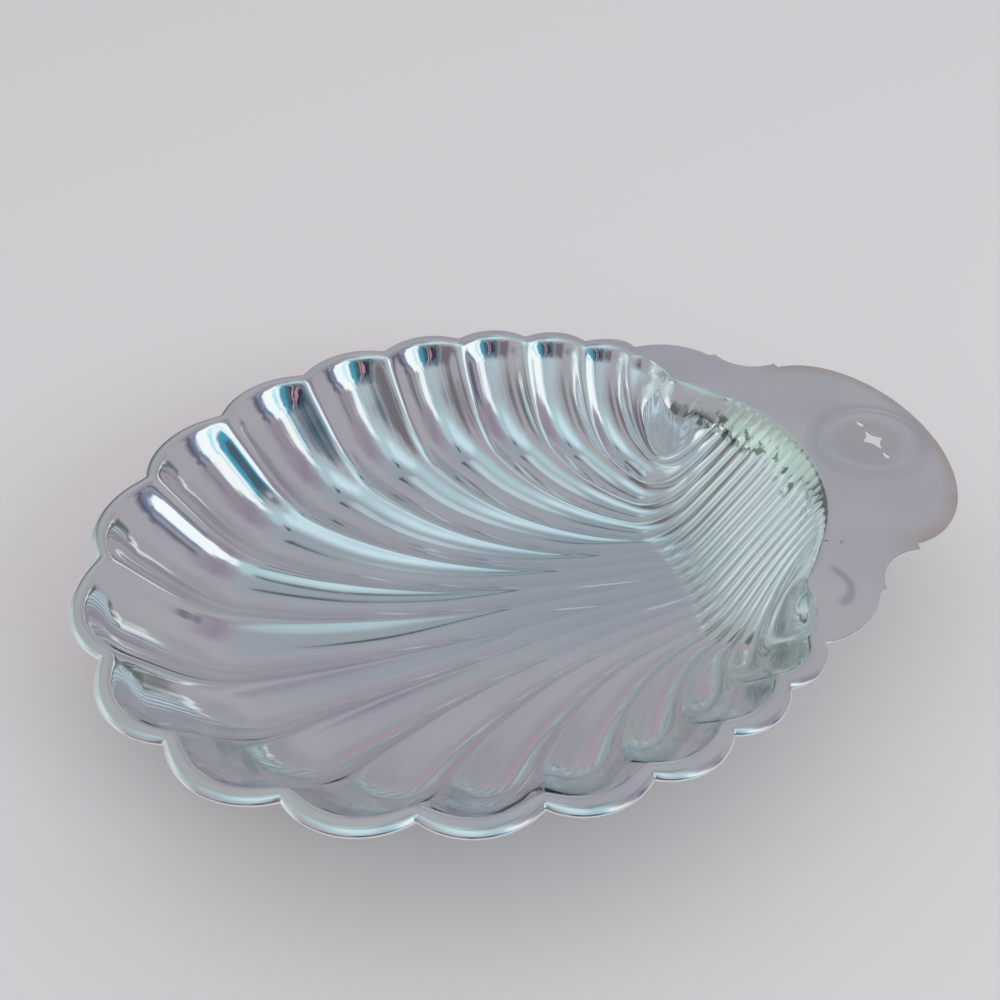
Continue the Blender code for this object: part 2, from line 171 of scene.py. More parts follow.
def plain_bowl(position):
    """The bowl without its flutes, a column of points for each position, and each row's share."""
    side = np.abs(position)
    step = 1e-3
    along = unit(inner_edge(position + step) - inner_edge(position - step))
    heading = np.arctan2(-along[:, 0], along[:, 1])
    wall_turn = position * REED_PITCH / BACK_RADIUS
    start = inner_edge(position)
    end = np.stack([X_BACK_CENTRE + BACK_RADIUS * np.cos(wall_turn),
                    BACK_RADIUS * np.sin(wall_turn)], axis=1)
    tuck = np.clip(side - LAST_CREST, 0, 1) ** TUCK_POWER
    corner_turn = np.arctan2(corner_point[1], corner_point[0] - X_BACK_CENTRE)
    leave_turn = np.sign(position) * (corner_turn - math.pi / 2)
    arrive_turn = np.sign(position) * (np.abs(wall_turn) - math.pi / 2)
    arrival = WALL_FAN * wall_turn
    heading = heading + tuck * np.angle(np.exp(1j * (leave_turn - heading)))
    arrival = arrival + tuck * (arrive_turn - arrival)
    edge_pull = np.linalg.norm(end - start, axis=1) / 3
    knots = (0, 3, 6, LAST_CREST)
    front_pulls = [share * BOWL_LENGTH for share in FRONT_PULLS]
    front_pull = np.interp(side, knots, [*front_pulls, CURL_RUN])
    back_pull = np.interp(side, knots, [share * BOWL_LENGTH for share in BACK_PULLS])
    front_pull = front_pull * (1 - tuck) + edge_pull * tuck
    back_pull = back_pull * (1 - tuck) + edge_pull * tuck
    leave = np.stack([np.cos(heading), np.sin(heading)], axis=1) * front_pull[:, None]
    arrive = np.stack([np.cos(arrival), np.sin(arrival)], axis=1) * back_pull[:, None]

    # Each flute's course is one curve that leaves the rim and arrives at the back wall
    share = np.linspace(0, 1, COURSE_STEPS)[None, :, None]
    plan = ((1 - share) ** 3 * start[:, None]
            + 3 * (1 - share) ** 2 * share * (start + leave)[:, None]
            + 3 * (1 - share) * share ** 2 * (end - arrive)[:, None]
            + share ** 3 * end[:, None])
    steps = np.linalg.norm(np.diff(plan, axis=1), axis=2)
    run = np.hstack([np.zeros((len(side), 1)), np.cumsum(steps, axis=1)])
    from_rim = np.array([bowl_rows(length) for length in run[:, -1]])
    points = np.empty((*from_rim.shape, 3))
    for column in range(len(side)):
        for axis in range(2):
            points[column, :, axis] = np.interp(from_rim[column], run[column], plan[column, :, axis])
    from_back = run[:, -1:] - from_rim
    floor = FLOOR_DEPTH - FLOOR_RISE * np.exp(-from_rim / FLOOR_REACH)
    depth = soft_min(soft_min(FRONT_SLOPE * from_rim, floor, BEND_SOFTNESS),
                     BACK_SLOPE * from_back, BACK_SOFTNESS)
    points[:, :, 2] = -np.maximum(depth, 0) * (1 - tuck[:, None])
    return points, from_rim / run[:, -1:]


# Columns stand closer together at the crests, whose rounding is narrow
columns = 2 * (FLUTES_EACH_SIDE * COLUMNS_PER_FLUTE + COLUMNS_PER_FLUTE // 2)
position = crowd(np.linspace(-LAST_EDGE, LAST_EDGE, columns + 1), -CREST_CROWDING)
bowl, bowl_share = plain_bowl(position)
across_step = np.gradient(bowl, position, axis=0)
bowl_width = np.linalg.norm(across_step, axis=2)
bowl_width[:COLUMNS_PER_FLUTE] = bowl_width[COLUMNS_PER_FLUTE]
bowl_width[-COLUMNS_PER_FLUTE:] = bowl_width[-COLUMNS_PER_FLUTE - 1]
bowl_out = unit(np.cross(across_step, np.gradient(bowl, axis=1)))
bowl_out = bowl_out * np.where(bowl_out[..., 2:3] > 0, -1.0, 1.0)
bowl_out[0] = bowl_out[1]
bowl_out[-1] = bowl_out[-2]

# Near the rim the flutes push level, so that their scallops lie in the plane of the rim
edge_along = unit(np.gradient(bowl[:, 0, :2], position, axis=0))
edge_out = np.stack([-edge_along[:, 1], edge_along[:, 0], np.zeros(columns + 1)], axis=1)
lean = smooth_step(-bowl[..., 2:3] / LEAN_DEPTH)
lean[:, bowl.shape[1] // 2:] = 1.0
bowl_flute = unit(edge_out[:, None] * (1 - lean) + bowl_out * lean) * bowl_width[..., None]


class DishSheet:
    """Gathers the upper face: each point, what the flutes and the thickness add to it, the faces."""

    def __init__(self):
        self.rows = []
        self.faces = []

    def add(self, point, flute=(0, 0, 0), sheet=(0, 0, -SHEET), across=0.0, down=0.0, fold=0.0,
            bowl=0.0, handle=0.0):
        """One point; gives back its number."""
        self.rows.append((*point, *flute, *sheet, across, down, fold, bowl, handle))
        return len(self.rows) - 1

    def strip(self, numbers):
        """Quads over a grid of point numbers."""
        numbers = np.array(numbers)
        for column in range(numbers.shape[0] - 1):
            for row in range(numbers.shape[1] - 1):
                self.faces.append((numbers[column, row], numbers[column, row + 1],
                                   numbers[column + 1, row + 1], numbers[column + 1, row]))

    def fill(self, loops):
        """Triangles inside the first loop and outside the others, all of them level."""
        numbers = [number for loop in loops for number in loop]
        corners = [Vector(self.rows[number][:2]) for number in numbers]
        sides = []
        for loop in loops:
            first = len(sides)
            sides += [(first + index, first + (index + 1) % len(loop))
                      for index in range(len(loop))]
        inside_only, tolerance = 1, 1e-7
        _, _, faces, origins, _, _ = delaunay_2d_cdt(corners, sides, [], inside_only, tolerance)
        holes = [np.array([self.rows[number][:2] for number in loop]) for loop in loops[1:]]
        for face in faces:
            face = [numbers[origins[corner][0]] for corner in face]
            middle = np.mean([self.rows[number][:2] for number in face], axis=0)
            if not any(encloses(hole, middle) for hole in holes):
                self.faces.append(tuple(face))


def encloses(outline, spot):
    """Whether a closed outline runs round a point."""
    after = np.roll(outline, -1, axis=0)
    crossed = (outline[:, 1] > spot[1]) != (after[:, 1] > spot[1])
    rise = np.where(crossed, after[:, 1] - outline[:, 1], 1.0)
    crossing = outline[:, 0] + (spot[1] - outline[:, 1]) / rise * (after[:, 0] - outline[:, 0])
    return np.count_nonzero(crossed & (crossing > spot[0])) % 2 == 1


# The lower face lies square to the upper one, and is level where the dish stands
sheet = DishSheet()
flat_start = RIM_HEIGHT - SHEET - STAND_BLEND
level = smooth_step((-bowl[..., 2:3] - flat_start) / STAND_BLEND)
bowl_under = unit(bowl_out * (1 - level) + np.array((0, 0, -1.0)) * level) * SHEET
bowl_fold = np.zeros(bowl.shape[:2])
for row, distance in enumerate(EDGE_ROWS):
    weight = 1 - distance / EDGE_ROWS[-1] * FOLD_FALL
    bowl_fold[:, row] = weight
    bowl_fold[:, -1 - row] = weight
for column in range(CORNER_COLUMNS):
    corner_fold = np.maximum(bowl_fold[column], 1 - column / CORNER_COLUMNS)
    bowl_fold[column] = bowl_fold[-1 - column] = corner_fold
# On the bowl's own edge the thickness is mitred between the wall and the level rim or plate
for where in ((slice(None), 0), (slice(None), -1), (0, slice(None)), (-1, slice(None))):
    wall = bowl_out[where]
    bowl_under[where] = SHEET * (wall + (0, 0, -1.0)) / np.maximum(1 - wall[:, 2:3], LEAST_MITRE)
    bowl_under[where + (2,)] = -SHEET
bowl_numbers = np.empty(bowl.shape[:2], int)
for column in range(bowl.shape[0]):
    for row in range(bowl.shape[1]):
        bowl_numbers[column, row] = sheet.add(
            bowl[column, row], bowl_flute[column, row], bowl_under[column, row],
            position[column], bowl_share[column, row], bowl_fold[column, row], 1.0)
sheet.strip(bowl_numbers)


# The rim: a flat border that follows the lobes, with its outer edge rolled down to a round lip.
# Its cut edge is softened by polishing.
FLUTE_DEPTH = 0.20
# A flute counts as 1 wide here, so half its chord is 0.5
FLUTE_RADIUS = (0.5 ** 2 + FLUTE_DEPTH ** 2) / (2 * FLUTE_DEPTH)
SCALLOP_FADE = 0.7
LOBE_BULGE = 0.205
LIP_WIDTH = 0.0023
LIP_LIMIT = 0.6
LIP_DROP = 0.0015
LIP_CURVE = 1.4
CUT_ROUND = 0.00028
LIP_ROWS = (0.0, 0.06, 0.2, 0.36, 0.52, 0.68, 0.84, 1.0)
BORDER_ROW = 0.3
FOLD_ROWS = EDGE_ROWS[:0:-1]

rim_columns = np.where(np.abs(position) <= LAST_CREST + 1e-9)[0]
lobe_shares = crowd(np.linspace(0, 1, COLUMNS_PER_FLUTE + 1), CREST_CROWDING)
lobes = []
for start, end in zip(cusp_loop, cusp_loop[1:]):
    lobes.append(arc(start, end, LOBE_BULGE * np.linalg.norm(end - start), lobe_shares))
rim_outer = np.vstack([lobes[0], *(lobe[1:] for lobe in lobes[1:])])
lip_fade = smooth_step(LAST_CREST - np.abs(position[rim_columns]))


def flute_section(place):
    """Round channel between two crests: 0 on a crest and 1 along the channel's middle."""
    off_centre = place - np.round(place)
    height = np.sqrt(FLUTE_RADIUS ** 2 - off_centre ** 2) - (FLUTE_RADIUS - FLUTE_DEPTH)
    section = height / FLUTE_DEPTH
    return section * (1 - SCALLOP_FADE * smooth_step(2 * (np.abs(place) - FLUTES_EACH_SIDE)))


rim_numbers = []
for index, column in enumerate(rim_columns):
    outer = rim_outer[index]
    start, flute = bowl[column, 0], bowl_flute[column, 0]
    inner = (start + flute * FLUTE_DEPTH * flute_section(position[column]))[:2]
    width = np.linalg.norm(inner - outer)
    lip = min(LIP_WIDTH / width, LIP_LIMIT)
    reaches = [lip * row for row in LIP_ROWS]
    reaches += [lip + (1 - lip) * BORDER_ROW]
    reaches += [1 - distance / width for distance in FOLD_ROWS]
    line = []
    for row, reach in enumerate(reaches):
        lip_share = max(0.0, 1 - reach / lip)
        height = -LIP_DROP * lip_fade[index] * lip_share ** LIP_CURVE
        spot = outer * (1 - reach) + start[:2] * reach
        under = (0, 0, -SHEET)
        if row == 0:
            height -= CUT_ROUND
            under = (0, 0, 2 * CUT_ROUND - SHEET)
        fold = 1 - FOLD_FALL * (1 - reach) * width / EDGE_ROWS[-1]
        line.append(sheet.add((*spot, height), flute * reach, under, position[column], 0.0,
                              max(fold, 0.0)))
    line.append(bowl_numbers[column, 0])
    rim_numbers.append(line)
sheet.strip(rim_numbers)
rim_numbers = np.array(rim_numbers)


# The handle plate: flat, with an outline of curves and pairs of points, and plain cut edges. A
# round fold joins it to the back wall of the bowl.
SHOULDER_WIDTH = 0.1383
WING_WIDTH = 0.1121
SHOULDER_SET = 0.0057
WING_SET = 0.0132
SHOULDER_BULGE = 0.147
WING_BULGE = -0.21
SHOULDER_POINTS = 28
WING_POINTS = 24
END_POINTS = 60
NOTCH = 0.0028
NOTCH_SLANT = 0.2 * NOTCH
COLLAR_WIDTH = 0.0028
FOLD_STEPS = 600
FOLD_SPAN = 9
# Distance in from the plate's cut edge, and height
PLATE_EDGE = ((0.0, -CUT_ROUND), (CUT_ROUND * 1.3, 0.0), (0.00055, 0.0))


def handle_outline():
    """Outline of the plate from the last cusp on +Y, round the end, to that on -Y."""
    cusp = cusp_loop[-1]
    shoulder = np.array((X_BACK - SHOULDER_SET, SHOULDER_WIDTH / 2))
    shoulder_corner = shoulder + (-NOTCH, NOTCH_SLANT)
    wing = np.array((X_BACK + WING_SET, WING_WIDTH / 2))
    wing_corner = wing + (NOTCH_SLANT, -NOTCH)
    half = [*arc(cusp, shoulder_corner, SHOULDER_BULGE * np.linalg.norm(shoulder_corner - cusp),
                 np.linspace(0, 1, SHOULDER_POINTS)),
            *arc(shoulder, wing, WING_BULGE * np.linalg.norm(wing - shoulder),
                 np.linspace(0, 1, WING_POINTS))]
    reach = X_BACK + HANDLE_REACH - wing_corner[0]
    for turn in np.linspace(math.pi / 2, 0, END_POINTS):
        half.append((wing_corner[0] + reach * math.cos(turn), wing_corner[1] * math.sin(turn)))
    half = np.array(half)
    return np.vstack([half, half[-2::-1] * (1, -1)])


def inset_line(line, distance):
    """A line of points moved to its right, with its corners kept sharp."""
    along = unit(np.diff(line, axis=0))
    before = np.vstack([along[:1], along])
    after = np.vstack([along, along[-1:]])
    bisector = unit(before + after)
    right = np.stack([bisector[:, 1], -bisector[:, 0]], axis=1)
    spread = np.maximum(np.sum(bisector * after, axis=1), LEAST_MITRE)
    return line + right * (distance / spread)[:, None]


# The fold's line, from the last lobe of one side round the back wall to that of the other side
last = len(position) - 1
side = COLUMNS_PER_FLUTE
fold_cells = ([(column, 0) for column in range(last - side, last)]
              + [(last, row) for row in range(bowl.shape[1] - 1)]
              + [(column, bowl.shape[1] - 1) for column in range(last, 0, -1)]
              + [(0, row) for row in range(bowl.shape[1] - 1, 0, -1)]
              + [(column, 0) for column in range(side + 1)])
fold_line = np.array([bowl[cell][:2] for cell in fold_cells])
gaps = np.linalg.norm(np.diff(fold_line, axis=0), axis=1)
travel = np.concatenate([[0], np.cumsum(gaps)])
# Its direction is evened out over a short run, so that the collar's rows don't cross
even = np.linspace(0, travel[-1], FOLD_STEPS)
even_line = np.stack([np.interp(even, travel, fold_line[:, axis]) for axis in range(2)], axis=1)
even_along = np.gradient(even_line, axis=0)
kernel = np.hanning(2 * FOLD_SPAN + 1)
kernel /= kernel.sum()
padded = np.vstack([np.repeat(even_along[:1], FOLD_SPAN, axis=0), even_along,
                    np.repeat(even_along[-1:], FOLD_SPAN, axis=0)])
smoothed = [np.convolve(padded[:, axis], kernel, "valid") for axis in range(2)]
even_along = unit(np.stack(smoothed, axis=1))
fold_along = np.stack([np.interp(travel, even, even_along[:, axis]) for axis in range(2)], axis=1)
fold_out = unit(np.stack([-fold_along[:, 1], fold_along[:, 0]], axis=1))
if fold_out[len(fold_out) // 2, 0] < 0:
    fold_out = -fold_out

collar_rows = (COLLAR_WIDTH, *FOLD_ROWS)
collar = [[] for _ in collar_rows]
for index, cell in enumerate(fold_cells):
    for ring, distance in enumerate(collar_rows):
        if index == 0:
            collar[ring].append(int(rim_numbers[-1, len(LIP_ROWS) + ring]))
            continue
        if index == len(fold_cells) - 1:
            collar[ring].append(int(rim_numbers[0, len(LIP_ROWS) + ring]))
            continue
        fade = 1 - distance / collar_rows[0]
        spot = bowl[cell][:2] + fold_out[index] * distance
        weight = max(0.0, 1 - FOLD_FALL * distance / EDGE_ROWS[-1]) * (ring > 0)
        collar[ring].append(sheet.add((*spot, 0.0), bowl_flute[cell] * (1, 1, 0) * fade,
                                      (0, 0, -SHEET), position[cell[0]], bowl_share[cell], weight,
                                      0.0, 1.0))
fold_numbers = [int(bowl_numbers[cell]) for cell in fold_cells]
sheet.strip(np.array([*collar, fold_numbers]).T)

outline = handle_outline()
plate_rings = []
for ring, (distance, height) in enumerate(PLATE_EDGE):
    under = (0, 0, -SHEET - 2 * height)
    spots = inset_line(outline, distance)[1:-1]
    plate_rings.append([int(rim_numbers[-1, ring]),
                        *(sheet.add((*spot, height), sheet=under, handle=1.0) for spot in spots),
                        int(rim_numbers[0, ring])])
sheet.strip(np.array(plate_rings).T)


# The raised disc on the handle, pressed up from below, with a four-pointed star and a drop on
# each side of it cut through the sheet.
DISC_RADIUS = 0.0215
DISC_HEIGHT = 0.0008
DISC_SET = 0.0260
DISC_SHIFT = 0.0010
# The disc's section: shares of its radius and of its height
DISC_STEPS = (
    (1.0, 0.0), (0.97, 0.0), (0.9, 0.22), (0.8, 0.78), (0.72, 1.0), (0.64, 0.85), (0.59, 0.65),
)
DISC_RINGS = 30
DISC_POINTS = 96
DISC_SOFTENING = (0.1, 0.24, 0.32, 0.24, 0.1)
STAR_LENGTH = 0.0086
STAR_WIDTH = 0.0133
STAR_WAIST = 0.30
STAR_SHARES = (0.06, 0.13, 0.2, 0.3, 0.4, 0.5, 0.6, 0.7, 0.8, 0.87, 0.94)
DROP_LENGTH = 0.0035
DROP_WIDTH = 0.0021
DROP_SET = 0.0097
DROP_POINTS = 24
# Growth of a hole's outline, and depth below the disc's top: the cut edge is softened
HOLE_EDGE = ((0.0005, 0.0), (0.00022, 0.0), (0.0, 0.00016))
disc_x = X_BACK + DISC_SET
ring_x = disc_x - DISC_SHIFT

disc_rings = []
shares = np.linspace(DISC_STEPS[0][0], DISC_STEPS[-1][0], DISC_RINGS)
known = np.array(DISC_STEPS[::-1])
heights = np.interp(shares, known[:, 0], known[:, 1])
padded = np.concatenate([[0.0] * 2, heights, [heights[-1]] * 2])
heights = np.convolve(padded, DISC_SOFTENING, "valid")
for share, height in zip(shares, heights):
    radius = share * DISC_RADIUS
    ring = [sheet.add((ring_x + radius * math.cos(turn), radius * math.sin(turn),
                       height * DISC_HEIGHT), handle=1.0)
            for turn in np.arange(DISC_POINTS) * 2 * math.pi / DISC_POINTS]
    disc_rings.append(ring + ring[:1])
sheet.strip(disc_rings)
disc_top = heights[-1] * DISC_HEIGHT


def star_outline(grow):
    """Four-pointed star whose sides curve in and whose points are blunt."""
    points = []
    tips = np.array(((STAR_LENGTH / 2, 0), (0, STAR_WIDTH / 2),
                     (-STAR_LENGTH / 2, 0), (0, -STAR_WIDTH / 2)))
    for tip, after in zip(tips, np.roll(tips, -1, axis=0)):
        for share in STAR_SHARES:
            pull = 1 - STAR_WAIST * 4 * share * (1 - share)
            points.append((tip + (after - tip) * share) * pull)
    points = np.array(points)
    return points + unit(points) * grow + (disc_x, 0)


def drop_outline(middle, grow):
    """One of the two drops beside the star."""
    turns = np.arange(DROP_POINTS) * 2 * math.pi / DROP_POINTS
    return np.stack([disc_x + (DROP_WIDTH / 2 + grow) * np.cos(turns),
                     middle + (DROP_LENGTH / 2 + grow) * np.sin(turns)], axis=1)


def pierce(outlines):
    """Softened edge round a hole, from its widened outline in; gives back the outer ring."""
    rings = []
    for outline, (_, dip) in zip(outlines, HOLE_EDGE):
        ring = [sheet.add((*spot, disc_top - dip), sheet=(0, 0, 2 * dip - SHEET), handle=1.0)
                for spot in outline]
        rings.append(ring + ring[:1])
    sheet.strip(np.array(rings).T)
    return rings[0][:-1]


holes = [pierce([star_outline(grow) for grow, _ in HOLE_EDGE])]
for middle in (-DROP_SET, DROP_SET):
    holes.append(pierce([drop_outline(middle, grow) for grow, _ in HOLE_EDGE]))
sheet.fill([disc_rings[-1][:-1], *holes])
rim_side = [int(number) for number in rim_numbers[-1, 2:len(LIP_ROWS) + 1]]
other_side = [int(number) for number in rim_numbers[0, len(LIP_ROWS):1:-1]]
plate_loop = [*collar[0], *other_side[1:-1], *plate_rings[-1][::-1], *rim_side[1:-1]]
sheet.fill([plate_loop, disc_rings[0][:-1]])


# The closed sheet: upper face, lower face and cut edge. The press tool's flutes come next, as a
# rule on top of the plain form: their depth falls off on the floor and at the back wall's top.
# Points of the lower face get their places with the others, once the faces are made.
values = np.array(sheet.rows)
count = len(values)
shell = bmesh.new()
for x, y, z in values[:, :3]:
    shell.verts.new((x, y, z + RIM_HEIGHT))
for _ in range(count):
    shell.verts.new((0, 0, 0))
shell.verts.ensure_lookup_table()
for face in sheet.faces:
    shell.faces.new([shell.verts[number] for number in face])
bmesh.ops.recalc_face_normals(shell, faces=shell.faces[:])
shell.faces.ensure_lookup_table()
if sum(face.normal.z * face.calc_area() for face in shell.faces) < 0:
    bmesh.ops.reverse_faces(shell, faces=shell.faces[:])
cut_edges = [edge for edge in shell.edges if edge.is_boundary]
walls = []
for edge in cut_edges:
    loop = edge.link_loops[0]
    walls.append((loop.vert.index, loop.link_loop_next.vert.index))
for face in shell.faces[:]:
    shell.faces.new([shell.verts[corner.index + count] for corner in reversed(face.verts)])
for start, end in walls:
    shell.faces.new([shell.verts[number] for number in (end, start, start + count, end + count)])
plain_mesh = bpy.data.meshes.new("plain_dish")
shell.to_mesh(plain_mesh)
shell.free()

# Only the lower face moves by the sheet's thickness
both = np.vstack([values, values])
both[:count, 6:9] = 0.0
on_top = np.concatenate([np.full(count, 1.0), np.zeros(count)])
plain_mesh.vertices.foreach_set("co", (both[:, :3] + (0, 0, RIM_HEIGHT)).ravel())
for name, first in (("flute", 3), ("sheet", 6)):
    layer = plain_mesh.attributes.new(name, "FLOAT_VECTOR", "POINT")
    layer.data.foreach_set("vector", both[:, first:first + 3].ravel())
for name, column in (("across", 9), ("down", 10), ("fold", 11), ("bowl", 12), ("handle", 13)):
    layer = plain_mesh.attributes.new(name, "FLOAT", "POINT")
    layer.data.foreach_set("value", both[:, column])
layer = plain_mesh.attributes.new("upper", "FLOAT", "POINT")
layer.data.foreach_set("value", on_top)


class Socket:
    """Wraps a node's output, so that Python's operators add Math nodes."""

    def __init__(self, board, output):
        self.board = board
        self.output = output

    def math(self, operation, *values):
        """One Math node."""
        return self.board.node("ShaderNodeMath", {"operation": operation}, dict(enumerate(values)))

    def __add__(self, other):
        return self.math("ADD", self, other)

    def __sub__(self, other):
        return self.math("SUBTRACT", self, other)

    def __mul__(self, other):
        return self.math("MULTIPLY", self, other)

    def __truediv__(self, other):
        return self.math("DIVIDE", self, other)

    def __pow__(self, other):
        return self.math("POWER", self, other)

    def __radd__(self, other):
        return self.math("ADD", other, self)

    def __rsub__(self, other):
        return self.math("SUBTRACT", other, self)

    def __rmul__(self, other):
        return self.math("MULTIPLY", other, self)

    def __rtruediv__(self, other):
        return self.math("DIVIDE", other, self)

    def __abs__(self):
        return self.math("ABSOLUTE", self)

    def low(self, other):
        return self.math("MINIMUM", self, other)

    def high(self, other):
        return self.math("MAXIMUM", self, other)

    def ramp(self, start, end, low=0.0, high=1.0):
        """A smooth change from low to high as the value goes from start to end."""
        kind = {"interpolation_type": "SMOOTHSTEP"}
        return self.board.node("ShaderNodeMapRange", kind,
                               {"Value": self, "From Min": start, "From Max": end,
                                "To Min": low, "To Max": high})


class Board:
    """Adds nodes to a tree, laid out from left to right in the order they are made."""

    def __init__(self, tree):
        self.tree = tree
        self.made = 0

    def node(self, kind, settings=None, sockets=None, out=0):
        """One node with its settings and the values or links of its sockets."""
        across, down = divmod(self.made, 6)
        node = self.tree.nodes.new(kind)
        node.location = (180 * across, -220 * down)
        self.made += 1
        for name, value in (settings or {}).items():
            setattr(node, name, value)
        for name, value in (sockets or {}).items():
            if isinstance(value, Socket):
                self.tree.links.new(value.output, node.inputs[name])
            else:
                node.inputs[name].default_value = value
        return Socket(self, node.outputs[out])

    def mix(self, factor, first, second):
        """Mixes two colours. A Mix node's colours are its sockets 6, 7 and, going out, 2."""
        first, second = (colour if isinstance(colour, Socket) else (*colour, 1)
                         for colour in (first, second))
        return self.node("ShaderNodeMix", {"data_type": "RGBA"},
                         {0: factor, 6: first, 7: second}, out=2)

    def axes(self, vector):
        """The X, Y and Z of a vector."""
        first = self.node("ShaderNodeSeparateXYZ", None, {"Vector": vector})
        return [Socket(self, part) for part in first.output.node.outputs]


def press_flutes():
    """Node tree that presses the flutes into the plain dish.

    The row's share "down" runs from 0 at the rim to 1 at the top of the back wall.
    """
    tree = bpy.data.node_groups.new("press_flutes", "GeometryNodeTree")
    tree.interface.new_socket("Geometry", in_out="INPUT", socket_type="NodeSocketGeometry")
    for name in ("Wall Depth", "Floor Depth", "Reed Depth", "Top Depth", "Bead Depth", "Reed End",
                 "Crest Round", "Flat Depth", "Flat Softness", "Floor Ripple"):
        tree.interface.new_socket(name, in_out="INPUT", socket_type="NodeSocketFloat")
    tree.interface.new_socket("Fold Passes", in_out="INPUT", socket_type="NodeSocketInt")
    tree.interface.new_socket("Finish", in_out="INPUT", socket_type="NodeSocketMaterial")
    tree.interface.new_socket("Geometry", in_out="OUTPUT", socket_type="NodeSocketGeometry")
    board = Board(tree)
    given = tree.nodes.new("NodeGroupInput")
    result = tree.nodes.new("NodeGroupOutput")
    sizes = {socket.name: Socket(board, socket) for socket in given.outputs}

    def stored(name, kind="FLOAT"):
        return board.node("GeometryNodeInputNamedAttribute", {"data_type": kind}, {"Name": name})

    across, down, upper = stored("across"), stored("down"), stored("upper")
    radius = FLUTE_RADIUS
    off = abs(across - across.math("ROUND", across))
    # Crests are rounded more widely at the rim and on the back wall than on the floor
    crest = sizes["Crest Round"] * down.ramp(0.05, 0.35, 1.5, 0.7) * down.ramp(0.45, 0.75, 1.0, 2.4)
    bend = 0.5 - crest
    bend_height = ((radius ** 2 - bend * bend) ** 0.5 - (radius - FLUTE_DEPTH)) / FLUTE_DEPTH
    channel = ((radius ** 2 - off * off) ** 0.5 - (radius - FLUTE_DEPTH)) / FLUTE_DEPTH
    bend_fall = bend / ((radius ** 2 - bend * bend) ** 0.5) / FLUTE_DEPTH
    near_crest = ((0.5 - off) / crest).low(1.0)
    rounded = bend_height - bend_fall * crest * 0.5 * (1 - near_crest * near_crest)
    on_crest = off.math("GREATER_THAN", off, bend)
    section = channel + on_crest * (rounded - channel)
    section = section * (1 - SCALLOP_FADE * (abs(across) - FLUTES_EACH_SIDE).ramp(0.0, 0.5))

    # The depth goes from the front wall's to the floor's, and from there to the reeds'
    to_floor = down.ramp(0.25, 0.55) * (sizes["Floor Depth"] - sizes["Wall Depth"])
    to_reeds = down.ramp(0.55, 0.8) * (sizes["Reed Depth"] - sizes["Floor Depth"])
    depth = sizes["Wall Depth"] + to_floor + to_reeds
    # The reeds end a little below the back wall's edge, and fine beads stand on the edge itself
    place = board.node("GeometryNodeInputPosition")
    _, side, rise = board.axes(place)
    lowered = (RIM_HEIGHT - rise) / (sizes["Reed End"] * side.ramp(-0.035, 0.01, 0.4, 1.0))
    on_back = down.ramp(0.5, 0.6)
    depth = depth + lowered.ramp(1.12, 0.88) * on_back * (sizes["Top Depth"] - sizes["Reed Depth"])
    bead = lowered.ramp(0.28, 0.08) * on_back * side.ramp(-0.006, 0.006)
    depth = depth + bead * (sizes["Bead Depth"] - sizes["Top Depth"])
    push = board.node("ShaderNodeVectorMath", {"operation": "SCALE"},
                      {0: stored("flute", "FLOAT_VECTOR"), "Scale": section * depth})
    fluted = board.node("ShaderNodeVectorMath", {"operation": "ADD"}, {0: place, 1: push})
    # The sheet is flattened where the dish stands, and a share of the flutes shows on top there
    fluted_x, fluted_y, fluted_z = board.axes(fluted)
    drop = RIM_HEIGHT - fluted_z
    kept = drop.math("SMOOTH_MIN", drop, sizes["Flat Depth"], sizes["Flat Softness"])
    ripple = (drop - sizes["Flat Depth"]).high(0.0) * sizes["Floor Ripple"] * upper
    level = board.node("ShaderNodeCombineXYZ", None,
                       {"X": fluted_x, "Y": fluted_y, "Z": RIM_HEIGHT - kept - ripple})
    moved = board.node("GeometryNodeSetPosition", None,
                       {"Geometry": sizes["Geometry"], "Position": level})
    # The folds at the rim and the plate are rounded, and the lower face gets its distance
    place = board.node("GeometryNodeInputPosition")
    folded = board.node("GeometryNodeBlurAttribute", {"data_type": "FLOAT_VECTOR"},
                        {0: place, "Iterations": sizes["Fold Passes"], "Weight": stored("fold")})
    moved = board.node("GeometryNodeSetPosition", None, {"Geometry": moved, "Position": folded})
    moved = board.node("GeometryNodeSetPosition", None,
                       {"Geometry": moved, "Offset": stored("sheet", "FLOAT_VECTOR")})
    real = board.node("GeometryNodeRealizeInstances", None, {0: moved})
    finished = board.node("GeometryNodeSetMaterial", None,
                          {"Geometry": real, "Material": sizes["Finish"]})
    tree.links.new(finished.output, result.inputs[0])
    return tree


# The finish: bright silver plate, mirror-like on the walls, hazier on the rim and handle, and
# worn to a soft grey on the floor. Tarnish, specks and scratches lie on it. Painted shade lies in
# the disc's groove and in a crescent dent, and painted green reflections on the back wall's top and
# the near wall.
SILVER_DULL = (0.86, 0.85, 0.87)
SILVER_BRIGHT = (0.92, 0.92, 0.92)
FLOOR_GREY = (0.84, 0.82, 0.86)
WORN_BLUE = (0.66, 0.77, 0.80)
EDGE_BROWN = (0.74, 0.64, 0.52)
# Painted shade in the groove round the raised disc
GROOVE_SHADE_GREY = (0.68, 0.68, 0.68)
STAR_BROWN = (0.74, 0.70, 0.66)
DENT_SHADE_GREY = (0.50, 0.49, 0.53)
# Painted shade of a faint crescent dent on the near shoulder
SPOT_GREY = (0.30, 0.29, 0.32)
# Painted green reflection on the back wall's top
WALL_TOP_REFLECTION_GREEN = (0.80, 0.88, 0.77)
SPECK_BLACK = (0.12, 0.15, 0.13)
# Painted dark green reflection on the near wall
NEAR_WALL_REFLECTION_GREEN = (0.50, 0.58, 0.50)
SCRATCH_WHITE = (0.80, 0.84, 0.85)
